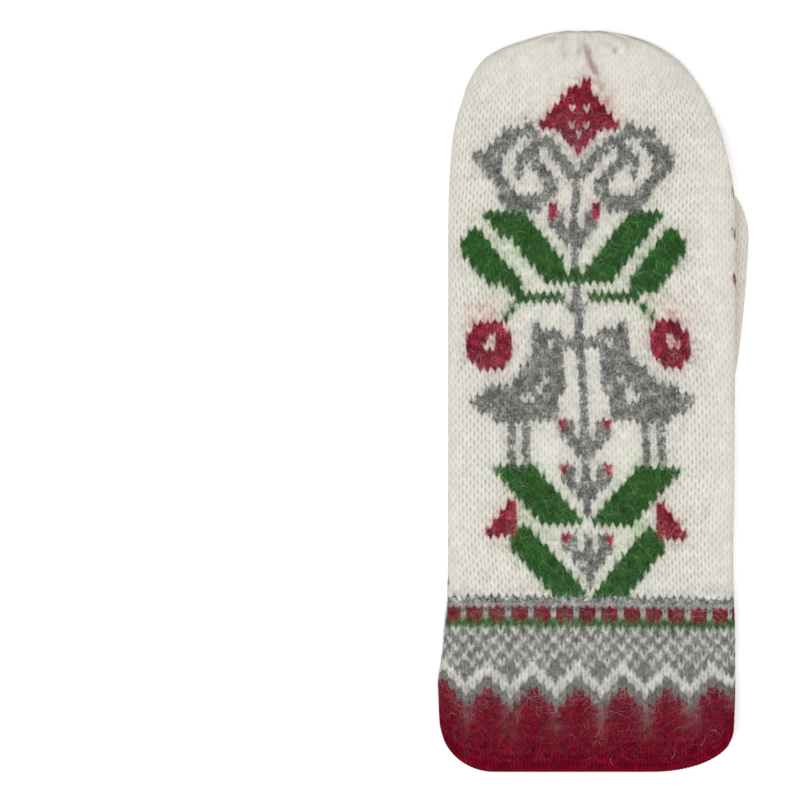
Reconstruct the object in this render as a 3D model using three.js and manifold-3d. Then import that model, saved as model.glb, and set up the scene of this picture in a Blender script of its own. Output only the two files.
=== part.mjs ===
// A knitted mitten for the left hand, lying on its palm with the fingertips towards +Y.
// Millimetres, +Z up, the origin on the floor under the middle of the mitten.
// The thumb is folded flat under the palm and shows past the right edge of the hand.

import * as THREE from 'three';
import Module from 'manifold-3d';
import { mergeVertices } from 'three/addons/utils/BufferGeometryUtils.js';

const manifold = await Module();
manifold.setup();

// Driving dimensions
const WALL = 2.6;
const HEM_WALL = 4.6;
const GAP = 0.3;
const BODY_THICK = 19;
const THUMB_THICK = 12;
const TIP_Y = 135;
const RIM_Y = -135;
const CUFF_JOIN_Y = -71.6;
const HEM_HEIGHT = 21;

// How full and how round a section is: powers below 1 flatten its faces and round its edges.
const EDGE_POWER = 0.625;
const FACE_POWER = 0.5;
const FLATTEN = 1.06;

const POINTS_ROUND_HAND = 48;
const POINTS_ROUND_THUMB = 32;

// Sections of the hand from the fingertips down: where the edges are and how thick it lies.
const HAND_SECTIONS = [
  { y: 135.0, left: -11.0, right: 4.0, thick: 4.5 },
  { y: 134.2, left: -16.5, right: 9.5, thick: 7.0 },
  { y: 133.0, left: -21.0, right: 14.5, thick: 8.6 },
  { y: 131.4, left: -25.8, right: 19.3, thick: 10.2 },
  { y: 129.2, left: -32.0, right: 24.0, thick: 11.8 },
  { y: 124.1, left: -40.0, right: 31.3, thick: 14.2 },
  { y: 115.4, left: -45.5, right: 38.2, thick: 16.6 },
  { y: 106.6, left: -48.4, right: 42.9, thick: 17.8 },
  { y: 97.9, left: -50.9, right: 46.2, thick: 18.4 },
  { y: 89.2, left: -52.0, right: 48.4, thick: 18.8 },
  { y: 76.1, left: -52.8, right: 50.6, thick: 19.0 },
  { y: 58.6, left: -53.1, right: 51.3, thick: 19.0 },
  { y: -46.0, left: -53.1, right: 50.8, thick: 19.0 },
  { y: -71.6, left: -53.4, right: 51.3, thick: 19.0 },
  { y: -85.5, left: -54.6, right: 51.7, thick: 19.0 },
  { y: -103.0, left: -56.3, right: 51.7, thick: 19.0 },
  { y: -112.0, left: -56.8, right: 51.7, thick: 19.0 },
  { y: -135.0, left: -56.4, right: 51.3, thick: 18.0 },
];

// Sections of the thumb from its tip down to the end that is sewn to the palm.
const THUMB_SECTIONS = [
  { y: 79.0, left: 32.5, right: 44.7, thick: 4.0 },
  { y: 78.0, left: 30.0, right: 47.8, thick: 6.0 },
  { y: 76.1, left: 27.2, right: 51.0, thick: 8.0 },
  { y: 71.7, left: 22.9, right: 53.9, thick: 10.4 },
  { y: 67.3, left: 20.7, right: 55.7, thick: 11.5 },
  { y: 61.0, left: 19.0, right: 56.8, thick: 12.0 },
  { y: 45.5, left: 15.4, right: 56.0, thick: 12.0 },
  { y: 19.3, left: 10.6, right: 53.5, thick: 12.0 },
  { y: -5.0, left: 6.2, right: 49.0, thick: 12.0 },
  { y: -12.0, left: 6.6, right: 47.5, thick: 9.8 },
  { y: -16.0, left: 9.0, right: 45.0, thick: 5.5 },
  { y: -17.5, left: 12.0, right: 42.0, thick: 2.5 },
];

// The wall of the cuff as rings, from the join down the outside, round the hem and up the inside.
const CUFF_WALL = [
  { y: CUFF_JOIN_Y - GAP / 2, inset: 0 },
  { y: -82, inset: 0 },
  { y: -93, inset: 0 },
  { y: -103, inset: 0 },
  { y: -112, inset: 0 },
  { y: -120, inset: 0 },
  { y: -127, inset: 0 },
  { y: RIM_Y + 1.8, inset: 0 },
  { y: RIM_Y + 0.5, inset: 0.2 * HEM_WALL },
  { y: RIM_Y, inset: 0.5 * HEM_WALL },
  { y: RIM_Y + 0.5, inset: 0.8 * HEM_WALL },
  { y: RIM_Y + 1.8, inset: HEM_WALL },
  { y: -127, inset: HEM_WALL },
  { y: -120, inset: HEM_WALL },
  { y: RIM_Y + HEM_HEIGHT, inset: HEM_WALL },
  { y: RIM_Y + HEM_HEIGHT + 2.5, inset: WALL },
  { y: -103, inset: WALL },
  { y: -90, inset: WALL },
  { y: CUFF_JOIN_Y - GAP / 2, inset: WALL },
];

// The corners of the rim curve up: width and height of the quarter ellipse on each side.
const RIM_CORNERS = {
  left: { wide: 20, high: 19 },
  right: { wide: 30, high: 15 },
};
const CORNER_FADE_Y = -88;

// The palm rises over the thumb. The rise starts left of the thumb and ends just over its edge.
const PALM_RISE = { before: -22, after: 1, startY: -62, fullY: -24, fallY: 84, endY: 118 };
const BACK_RISE = { high: 8, before: -50, after: 30, startY: -75, fullY: 5, fallY: 60, endY: 132 };
const THUMB_LEFT_LINE = { y: -14, left: 4.4, slope: 0.185 };

// The knitting is drawn together at the fingertips, in shallow gathers.
const GATHERS = { count: 10, deep: 0.5, fromY: 118 };

// The slit in the palm through which the thumb opens into the hand.
const THUMB_SLIT = { left: 12, right: 42, low: -12, high: 4, bottom: 8, top: 18 };

const RING_STEP_Y = 10;

function smoothStep(from, to, value) {
  const t = Math.min(1, Math.max(0, (value - from) / (to - from)));
  return t * t * (3 - 2 * t);
}

function signedPower(value, power) {
  return Math.sign(value) * Math.abs(value) ** power;
}

// The section at a height y, between the two rows of a table that hold it.
function sectionAt(sections, y) {
  const inside = Math.min(sections[0].y, Math.max(sections.at(-1).y, y));
  const row = Math.max(1, sections.findIndex((section) => section.y <= inside));
  const above = sections[row - 1];
  const below = sections[row];
  const t = (above.y - inside) / (above.y - below.y);
  const mix = (column) => above[column] + (below[column] - above[column]) * t;
  return { left: mix('left'), right: mix('right'), thick: mix('thick') };
}

function overThumb(x, y, rise) {
  const thumbLeft = THUMB_LEFT_LINE.left + (y - THUMB_LEFT_LINE.y) * THUMB_LEFT_LINE.slope;
  const across = smoothStep(rise.before, rise.after, x - thumbLeft);
  const up = smoothStep(rise.startY, rise.fullY, y);
  const down = 1 - smoothStep(rise.fallY, rise.endY, y);
  return across * up * down;
}

// How far the rim's corner lifts the knitting at x, for a ring whose middle is at y.
function cornerLift(x, y, section) {
  const nearRim = 1 - smoothStep(RIM_Y, CORNER_FADE_Y, y);
  const middle = (section.left + section.right) / 2;
  const corner = x < middle ? RIM_CORNERS.left : RIM_CORNERS.right;
  const edge = x < middle ? x - section.left : section.right - x;
  const t = Math.min(1, Math.max(0, 1 - edge / corner.wide));
  return nearRim * corner.high * (1 - Math.sqrt(1 - t * t));
}

// One ring round the hand and cuff: inset is how far inside the outer face it runs.
function bodyRing(y, inset) {
  const section = sectionAt(HAND_SECTIONS, y);
  const middle = (section.left + section.right) / 2;
  const halfWidth = (section.right - section.left) / 2 - inset;
  const gather = GATHERS.deep * smoothStep(GATHERS.fromY, TIP_Y, y);
  const ring = [];
  for (let i = 0; i < POINTS_ROUND_HAND; i += 1) {
    const angle = (2 * Math.PI * i) / POINTS_ROUND_HAND;
    const x = middle + halfWidth * signedPower(Math.cos(angle), EDGE_POWER);
    const height = signedPower(Math.sin(angle), FACE_POWER);
    const side = height < 0 ? Math.max(-1, height * FLATTEN) : height;
    const ringY = y + cornerLift(x, y, section);
    const sag = 0.35 * (BODY_THICK - section.thick);
    const bottom = sag + (THUMB_THICK + GAP) * overThumb(x, ringY, PALM_RISE);
    const top = sag + section.thick + BACK_RISE.high * overThumb(x, ringY, BACK_RISE);
    const half = (top - bottom) / 2;
    const reach = half - Math.min(inset, half / 2) + gather * Math.cos(GATHERS.count * angle);
    ring.push(new THREE.Vector3(x, ringY, (top + bottom) / 2 + reach * side));
  }
  return ring;
}

// One ring round the thumb, whose upper face lies flat under the palm at its sewn end.
function thumbRing(y, inset) {
  const middleY = (THUMB_SECTIONS[0].y + THUMB_SECTIONS.at(-1).y) / 2;
  const halfLength = (THUMB_SECTIONS[0].y - THUMB_SECTIONS.at(-1).y) / 2;
  const ringY = middleY + ((y - middleY) * (halfLength - inset)) / halfLength;
  const section = sectionAt(THUMB_SECTIONS, y);
  const middle = (section.left + section.right) / 2;
  const halfWidth = (section.right - section.left) / 2 - inset;
  const missing = THUMB_THICK - section.thick;
  const bottom = y < middleY ? missing : missing / 2;
  const half = section.thick / 2;
  const reach = half - inset * Math.min(1, half / (THUMB_THICK / 2));
  const ring = [];
  for (let i = 0; i < POINTS_ROUND_THUMB; i += 1) {
    const angle = (2 * Math.PI * i) / POINTS_ROUND_THUMB;
    const x = middle + halfWidth * signedPower(Math.cos(angle), EDGE_POWER);
    const height = signedPower(Math.sin(angle), FACE_POWER) * FLATTEN;
    const side = Math.min(1, Math.max(-1, height));
    ring.push(new THREE.Vector3(x, ringY, bottom + half + reach * side));
  }
  return ring;
}

// A closed surface through a list of rings. Joined, the last ring meets the first one,
// otherwise the two end rings are filled with fans round their middle points.
function ringSurface(rings, joined) {
  const around = rings[0].length;
  const positions = rings.flat().flatMap((point) => point.toArray());
  const indices = [];
  const corner = (ring, i) => (ring % rings.length) * around + (i % around);
  const bands = joined ? rings.length : rings.length - 1;
  for (let ring = 0; ring < bands; ring += 1) {
    for (let i = 0; i < around; i += 1) {
      indices.push(corner(ring, i), corner(ring + 1, i + 1), corner(ring + 1, i));
      indices.push(corner(ring, i), corner(ring, i + 1), corner(ring + 1, i + 1));
    }
  }
  if (!joined) {
    addFan(positions, indices, rings[0], (i) => corner(0, i), false);
    addFan(positions, indices, rings.at(-1), (i) => corner(rings.length - 1, i), true);
  }
  const geometry = new THREE.BufferGeometry();
  geometry.setAttribute('position', new THREE.Float32BufferAttribute(positions, 3));
  geometry.setIndex(indices);
  return geometry;
}

function addFan(positions, indices, ring, corner, last) {
  const centre = new THREE.Vector3();
  for (const point of ring) {
    centre.addScaledVector(point, 1 / ring.length);
  }
  const middle = positions.length / 3;
  positions.push(...centre.toArray());
  for (let i = 0; i < ring.length; i += 1) {
    const pair = last ? [corner(i), corner(i + 1)] : [corner(i + 1), corner(i)];
    indices.push(middle, ...pair);
  }
}

function toSolid(geometry) {
  geometry.deleteAttribute('normal');
  geometry.deleteAttribute('uv');
  const merged = mergeVertices(geometry, 1e-4);
  return new manifold.Manifold(
    new manifold.Mesh({
      numProp: 3,
      vertProperties: new Float32Array(merged.attributes.position.array),
      triVerts: new Uint32Array(merged.index.array),
    }),
  );
}

function toGeometry(solid) {
  const mesh = solid.getMesh();
  const geometry = new THREE.BufferGeometry();
  geometry.setAttribute('position', new THREE.BufferAttribute(mesh.vertProperties, 3));
  geometry.setIndex(new THREE.BufferAttribute(mesh.triVerts, 1));
  geometry.computeVertexNormals();
  return geometry;
}

// Heights of the rings from the tip down: the table's own rows, then even steps.
function ringHeights(sections, end) {
  const rows = sections.map((section) => section.y).filter((y) => y > end);
  const heights = [];
  for (const [i, y] of rows.entries()) {
    const next = rows[i + 1] ?? end;
    const steps = Math.max(1, Math.round((y - next) / RING_STEP_Y));
    for (let step = 0; step < steps; step += 1) {
      heights.push(y + ((next - y) * step) / steps);
    }
  }
  return [...heights, end];
}

function slitSolid() {
  const radius = (THUMB_SLIT.high - THUMB_SLIT.low) / 2;
  const middleY = (THUMB_SLIT.high + THUMB_SLIT.low) / 2;
  const outline = new THREE.Shape();
  outline.absarc(THUMB_SLIT.right - radius, middleY, radius, -Math.PI / 2, Math.PI / 2);
  outline.absarc(THUMB_SLIT.left + radius, middleY, radius, Math.PI / 2, (3 * Math.PI) / 2);
  const prism = new THREE.ExtrudeGeometry(outline, {
    depth: THUMB_SLIT.top - THUMB_SLIT.bottom,
    bevelEnabled: false,
    curveSegments: 8,
  });
  prism.translate(0, 0, THUMB_SLIT.bottom);
  return toSolid(prism);
}

// The hand is a closed bag: down the outside from the fingertips, up the inside again.
// Its inner rings stop one wall short of the outer ones at the fingertips.
function handGeometry() {
  const end = CUFF_JOIN_Y + GAP / 2;
  const heights = ringHeights(HAND_SECTIONS, end);
  const outer = heights.map((y) => bodyRing(y, 0));
  const inner = heights.map((y) => {
    const ring = bodyRing(y, WALL);
    const drop = (WALL * (y - end)) / (TIP_Y - end);
    return ring.map((point) => new THREE.Vector3(point.x, point.y - drop, point.z));
  });
  const bag = toSolid(ringSurface([...outer, ...inner.reverse()], false));
  return toGeometry(bag.subtract(slitSolid()));
}

function cuffGeometry() {
  const rings = CUFF_WALL.map((row) => bodyRing(row.y, row.inset));
  return toGeometry(toSolid(ringSurface(rings, true)));
}

function thumbGeometry() {
  const heights = ringHeights(THUMB_SECTIONS, THUMB_SECTIONS.at(-1).y);
  const outer = toSolid(ringSurface(heights.map((y) => thumbRing(y, 0)), false));
  const inner = toSolid(ringSurface(heights.map((y) => thumbRing(y, WALL)), false));
  return toGeometry(outer.subtract(inner).subtract(slitSolid()));
}

const creamWool = new THREE.MeshStandardMaterial({ color: 0xe0dacb, roughness: 0.95, metalness: 0 });
const crimsonWool = new THREE.MeshStandardMaterial({ color: 0x7d1428, roughness: 0.95, metalness: 0 });

const pieces = [
  { name: 'hand', geometry: handGeometry(), material: creamWool },
  { name: 'cuff', geometry: cuffGeometry(), material: crimsonWool },
  { name: 'thumb', geometry: thumbGeometry(), material: creamWool },
];

const mitten = new THREE.Group();
for (const piece of pieces) {
  const mesh = new THREE.Mesh(piece.geometry, piece.material);
  mesh.name = piece.name;
  mitten.add(mesh);
}

export default mitten;
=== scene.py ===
import bpy
import numpy as np
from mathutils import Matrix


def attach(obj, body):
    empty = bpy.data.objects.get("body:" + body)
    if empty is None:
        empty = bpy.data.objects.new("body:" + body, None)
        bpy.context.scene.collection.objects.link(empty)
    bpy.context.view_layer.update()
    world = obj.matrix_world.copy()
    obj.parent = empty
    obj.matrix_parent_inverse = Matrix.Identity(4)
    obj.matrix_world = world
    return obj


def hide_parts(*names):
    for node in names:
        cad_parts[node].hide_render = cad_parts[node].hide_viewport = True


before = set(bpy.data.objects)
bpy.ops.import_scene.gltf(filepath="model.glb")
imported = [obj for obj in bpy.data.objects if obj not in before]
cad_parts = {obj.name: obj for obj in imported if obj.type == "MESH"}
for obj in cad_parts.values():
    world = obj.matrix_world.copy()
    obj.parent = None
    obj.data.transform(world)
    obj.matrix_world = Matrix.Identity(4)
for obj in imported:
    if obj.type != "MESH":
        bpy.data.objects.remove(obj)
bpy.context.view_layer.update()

# The hand is one tube of cream wool, knitted round and round from the cuff and drawn
# together at the fingertips. Grey, green and crimson wool is carried along behind it and
# knitted in stitch by stitch as a pattern. Lengths are millimetres until a mesh is made.
MILLIMETRE = 0.001
WALL = 2.6
GAP = 0.3
BODY_THICK = 19
THUMB_THICK = 12
TIP_Y = 135
RIM_Y = -135
COLUMNS = ("y", "left", "right", "thick")
HAND_SHAPE = np.array(
    [
        (135.0, -11.0, 4.0, 4.5),
        (134.2, -16.5, 9.5, 7.0),
        (133.0, -21.0, 14.5, 8.6),
        (131.4, -25.8, 19.3, 10.2),
        (129.2, -32.0, 24.0, 11.8),
        (124.1, -40.0, 31.3, 14.2),
        (115.4, -45.5, 38.2, 16.6),
        (106.6, -48.4, 42.9, 17.8),
        (97.9, -50.9, 46.2, 18.4),
        (89.2, -52.0, 48.4, 18.8),
        (76.1, -52.8, 50.6, 19.0),
        (58.6, -53.1, 51.3, 19.0),
        (-46.0, -53.1, 50.8, 19.0),
        (-71.6, -53.4, 51.3, 19.0),
        (-85.5, -54.6, 51.7, 19.0),
        (-103.0, -56.3, 51.7, 19.0),
        (-112.0, -56.8, 51.7, 19.0),
        (-135.0, -56.4, 51.3, 18.0),
    ],
    dtype=[(column, float) for column in COLUMNS],
)

# How full a section is: powers below 1 fill its side edges and its faces, and FLATTEN makes
# the face that it lies on flatter.
EDGE_POWER = 0.625
FACE_POWER = 0.5
FLATTEN = 1.06

# Where the palm and the back rise over the thumb: across the mitten from before to after,
# counted from the thumb's left edge, up it from start to full, and down from fall to end.
PALM_RISE = {"before": -22, "after": 1, "start": -62, "full": -24, "fall": 84, "end": 118}
BACK_RISE = {"before": -50, "after": 30, "start": -75, "full": 5, "fall": 60, "end": 132}
BACK_RISES_BY = 8

# Heights of the rows of stitches.
HAND_ROWS = np.array(
    [
        (-2, -78.5),
        (0, -72.0),
        (8, -45.8),
        (16, -20.6),
        (26, 11.9),
        (34, 38.5),
        (40, 58.7),
        (42, 65.2),
        (46, 76.9),
        (54, 101.0),
        (64.7, 134.0),
        (65.2, 134.9),
        (66, 135.0),
    ]
)
HAND_STITCHES = 80

# Up the back: where the stem of the pattern runs, how wide a stitch is on its left and right,
# and how far a row leans and rises at the distance BEND_REACH from it.
BEND_REACH = 36
BACK_COLUMNS = ("y", "stem", "left", "right", "lean", "rise")
BACK_LAYOUT = np.array(
    [
        (-72.0, -1.4, 2.66, 2.64, -0.3, -0.3),
        (-65.0, -1.5, 2.68, 2.62, -0.5, -0.8),
        (-50.6, -2.3, 2.73, 2.63, -0.7, -1.7),
        (-36.0, -2.9, 2.73, 2.69, -0.6, -1.5),
        (-21.5, -3.2, 2.71, 2.76, -0.3, -1.2),
        (7.6, -4.4, 2.63, 2.77, 0.2, -0.9),
        (22.2, -5.6, 2.63, 2.74, 0.3, -0.9),
        (36.8, -6.4, 2.63, 2.64, 0.3, -0.9),
        (51.3, -7.3, 2.66, 2.62, 0.1, -0.6),
        (65.9, -7.5, 2.66, 2.60, -0.1, -0.2),
        (76.8, -6.7, 2.64, 2.58, -0.3, 0.0),
        (98.6, -5.6, 2.60, 2.62, -0.6, 0.4),
        (109.5, -5.4, 2.62, 2.66, -0.7, 0.6),
        (124.0, -5.3, 2.64, 2.64, -0.4, 0.3),
        (134.0, -4.4, 2.60, 2.60, 0.0, 0.0),
    ],
    dtype=[(column, float) for column in BACK_COLUMNS],
)


def soft_step(start, end, value):
    """Rises from 0 at start to 1 at end, level at both."""
    t = np.clip((value - start) / (end - start), 0, 1)
    return t * t * (3 - 2 * t)


def shape_at(table, column, y):
    """A column of a shape table at the heights y. A cubic curve goes through the rows and
    never swings past them. It is drawn over the square root of the distance from the tip,
    because the outline turns fastest there."""
    top = table["y"][0] + 0.01
    knots = np.sqrt(top - table["y"])
    place = np.clip(np.sqrt(np.maximum(top - y, 0)), knots[0], knots[-1])
    value = table[column]
    step = np.diff(knots)
    slope = np.diff(value) / step
    product = slope[1:] * slope[:-1]
    inner = np.where(product > 0, 2 * product / (slope[1:] + slope[:-1] + 1e-12), 0)
    bend = np.concatenate([slope[:1], inner, slope[-1:]])
    i = np.clip(np.searchsorted(knots, place, side="right") - 1, 0, len(step) - 1)
    t = (place - knots[i]) / step[i]
    start = value[i] * (1 + 2 * t) * (1 - t) ** 2 + bend[i] * step[i] * t * (1 - t) ** 2
    end = value[i + 1] * t**2 * (3 - 2 * t) + bend[i + 1] * step[i] * t**2 * (t - 1)
    return start + end


def over_thumb(x, y, rise):
    """How much of its full rise the cloth has at (x, y): the product of a soft step across
    the mitten, one that goes up with y and one that comes down near the fingertips. The
    thumb's left edge slants away to the right."""
    thumb_left = 4.4 + (y + 14) * 0.185
    across = soft_step(rise["before"], rise["after"], x - thumb_left)
    up = soft_step(rise["start"], rise["full"], y)
    down = 1 - soft_step(rise["fall"], rise["end"], y)
    return across * up * down


def corner_lift(x, y, left, right):
    """How far the rim's rounded corners lift the knitting at x: the height of a quarter
    ellipse at each side, full at the rim and gone 47 mm above it. The right one is wider
    and lower."""
    near_rim = 1 - soft_step(RIM_Y, RIM_Y + 47, y)
    at_left = x < (left + right) / 2
    wide = np.where(at_left, 20, 30)
    high = np.where(at_left, 19, 15)
    t = np.clip(1 - np.where(at_left, x - left, right - x) / wide, 0, 1)
    return near_rim * high * (1 - np.sqrt(1 - t * t))


def section_angles():
    """Angles round a section, a quarter turn at a time and closest at the quarters' ends. They
    start at the middle of the palm and go left."""
    quarter = np.linspace(0, 1, 120, endpoint=False)
    eased = quarter * quarter * (3 - 2 * quarter)
    turn = (np.arange(4)[:, None] + eased).ravel()
    return -np.pi / 2 - turn * np.pi / 2


def body_rings(y, inset, draw):
    """Points round the hand and cuff, a ring for each y. The section is a superellipse: x goes
    with a power of the cosine and z with one of the sine, a little flatter below. The palm
    rises over the thumb and the back follows it. Each ring is inset from the outer face,
    and draw scales it towards its middle."""
    y, inset, draw = (np.asarray(value, float)[:, None] for value in (y, inset, draw))
    angle = section_angles()
    cosine, sine = np.cos(angle), np.sin(angle)
    left, right, thick = (shape_at(HAND_SHAPE, column, y) for column in COLUMNS[1:])
    half = ((right - left) / 2 - inset) * draw
    x = (left + right) / 2 + half * np.sign(cosine) * np.abs(cosine) ** EDGE_POWER
    height = np.sign(sine) * np.abs(sine) ** FACE_POWER
    side = np.where(height < 0, np.maximum(height * FLATTEN, -1), height)
    ring_y = y + corner_lift(x, y, left, right)
    sag = 0.35 * (BODY_THICK - thick)
    bottom = sag + (THUMB_THICK + GAP) * over_thumb(x, ring_y, PALM_RISE)
    top = sag + thick + BACK_RISES_BY * over_thumb(x, ring_y, BACK_RISE)
    gather = 0.5 * soft_step(118, TIP_Y, y) * np.cos(10 * angle)
    reach = ((top - bottom) / 2 - np.minimum(inset, (top - bottom) / 4) + gather) * draw
    return np.stack([x, ring_y, (top + bottom) / 2 + reach * side], axis=2)


def lay_columns(rings, stem_x, stitches, per_stitch, left, right):
    """Moves a ring's points to where the columns of stitches cross it. Columns are counted
    from the stem, whose x is stem_x on the upper side, by length round the ring. They are
    left and right apart on its two sides. Where that doesn't fill the ring, a power curve
    widens them from a third of the way round, and where it is too much, a sine crowds them
    together at the side edges."""
    closed = np.concatenate([rings, rings[:, :1]], axis=1)
    step = np.linalg.norm(np.diff(closed, axis=1), axis=2)
    length = np.concatenate([np.zeros((len(rings), 1)), np.cumsum(step, axis=1)], axis=1)
    girth = length[:, -1:]
    turn = np.arange(stitches * per_stitch) / (stitches * per_stitch) - 0.5
    out = 2 * np.abs(turn)
    left, right = (np.broadcast_to(pitch, len(rings))[:, None] for pitch in (left, right))
    spare = np.clip(np.where(turn < 0, left, right) * stitches / girth - 1, -0.3, 0.8)
    widen = out - np.clip((out - 0.3) / 0.7, 0, 1) ** 1.6
    crowd = np.sin(2 * np.pi * out) / (2 * np.pi)
    along = np.sign(turn) * girth / 2 * (out + spare * np.where(spare < 0, widen, crowd))
    quarter = rings.shape[1] // 4
    upper = slice(quarter, 3 * quarter)
    laid = np.empty((len(rings), len(turn), 3))
    for ring in range(len(rings)):
        stem = np.interp(stem_x[ring], closed[ring, upper, 0], length[ring, upper])
        place = (stem + along[ring]) % girth[ring]
        for axis in range(3):
            laid[ring, :, axis] = np.interp(place, length[ring], closed[ring, :, axis])
    return laid


def outward(laid):
    """Unit normals of a grid that is closed across: the cross product of the steps round
    it and along it."""
    round_it = np.roll(laid, -1, axis=1) - np.roll(laid, 1, axis=1)
    along_it = np.gradient(laid, axis=0)
    normal = np.cross(round_it, along_it)
    return normal / np.maximum(np.linalg.norm(normal, axis=2, keepdims=True), 1e-9)


CLOTH_LINES = 10


class Cloth:
    """Plain fabric as a fine grid: CLOTH_LINES lines of points for each row of stitches, and
    on each line a point for every column line of the knitting."""

    def __init__(self, rows, laid, stitches, per_stitch):
        self.first_row = rows[0]
        self.laid = laid
        self.normals = outward(laid)
        self.stitches = stitches
        self.per_stitch = per_stitch

    def at(self, row, line, lift):
        """Points at a row and on a column line, both of any value, lifted off the fabric:
        the four nearest grid points are mixed by distance."""
        j = np.clip((row - self.first_row) * CLOTH_LINES, 0, len(self.laid) - 1.001)
        i = np.asarray(line, float) % self.laid.shape[1]
        j0, i0 = np.floor(j).astype(int), np.floor(i).astype(int)
        i1 = (i0 + 1) % self.laid.shape[1]
        s, t = (j - j0)[..., None], (i - i0)[..., None]
        total = 0
        for grid, scale in ((self.laid, 1.0), (self.normals, lift[..., None])):
            lower = grid[j0, i0] * (1 - t) + grid[j0, i1] * t
            upper = grid[j0 + 1, i0] * (1 - t) + grid[j0 + 1, i1] * t
            total = total + (lower * (1 - s) + upper * s) * scale
        return total


def cloth_rows(first, last):
    """The row of stitches at each line of a cloth, from first to last."""
    return np.arange(round(first * CLOTH_LINES), round(last * CLOTH_LINES) + 1) / CLOTH_LINES


def bend_rows(rings, middle, lean, rise):
    """Bends the rows of stitches along y: a straight line plus a parabola across the mitten,
    with BEND_REACH from the middle as their unit."""
    out = np.clip((rings[:, :, 0] - middle[:, None]) / BEND_REACH, -1.2, 1.2)
    rings[:, :, 1] += lean[:, None] * out + rise[:, None] * out**2


def hand_cloth(inset, per_stitch):
    """The hand's fabric, inset from its outer face. Below row 0 it lies a little deeper, and
    past row 65.1 it is drawn in to the middle of the fingertips."""
    row = cloth_rows(-2, 66)
    y = np.interp(row, HAND_ROWS[:, 0], HAND_ROWS[:, 1])
    draw = 1 - 0.97 * soft_step(65.1, 66.1, row)
    sunk = 0.4 * (1 - soft_step(-0.7, 0.2, row))
    rings = body_rings(y, inset + sunk, draw)
    stem, left, right, lean, rise = (
        np.interp(y, BACK_LAYOUT["y"], BACK_LAYOUT[column]) for column in BACK_COLUMNS[1:]
    )
    bend_rows(rings, stem, lean, rise)
    laid = lay_columns(rings, stem, HAND_STITCHES, per_stitch, left, right)
    return Cloth(row, laid, HAND_STITCHES, per_stitch)


CREAM, GREY, GREEN, CRIMSON = 0, 1, 2, 3


def between(value, low, high):
    """True where low <= value <= high."""
    return (value >= low) & (value <= high)


def scroll(side, row):
    """A stroke out from the stem, over the top, back under and round inside itself, as the
    columns that it crosses in each row."""
    strokes = {
        53: [(7, 7)],
        52: [(6, 10)],
        51: [(4, 6), (9, 11)],
        50: [(3, 4), (6, 7), (10, 12)],
        49: [(2, 3), (6, 8), (11, 14)],
        48: [(1, 2), (5, 6), (8, 8), (11, 13)],
        47: [(1, 1), (4, 5), (8, 8), (11, 12)],
        46: [(3, 4), (10, 11)],
        45: [(3, 4), (9, 10)],
        44: [(4, 10)],
        43: [(5, 9)],
    }
    pale_hairs_and_highlight = np.zeros(side.shape, bool)
    for height, columns in strokes.items():
        for first, last in columns:
            pale_hairs_and_highlight |= (row == height) & between(side, first, last)
    return pale_hairs_and_highlight


def leaf(side, row, near, far, low, high, bend):
    """A slanting leaf from the column near to far: its lower edge rises after the column
    bend and its upper edge rises from near, both by a row for each column, up to high."""
    under = low + np.maximum(0, side - bend)
    over = np.minimum(high, low + side - near)
    return between(side, near, far) & (row >= under) & (row <= over)


def bird(column, row):
    """A standing bird that looks at the stem, as the columns that it fills in each row from
    the lowest up. The left one's tail is a stitch longer."""
    side = np.abs(column)
    lowest = 20
    chest = np.array([4, 4, 4, 3, 3, 3, 3, 3, 3, 3])
    tail = np.array([11, 13, 14, 12, 9, 8, 7, 6, 6, 6])
    i = np.clip(row - lowest, 0, len(chest) - 1).astype(int)
    behind = tail[i] + ((column < 0) & (row < 24))
    body = between(row, lowest, 29) & between(side, chest[i], behind)
    crest = (side == 6) & (row == 30)
    beak = between(side, 1, 2) & (row == 28)
    legs = ((side == 8) | (side == 10)) & between(row, 15, 19)
    return body | crest | beak | legs


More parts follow.
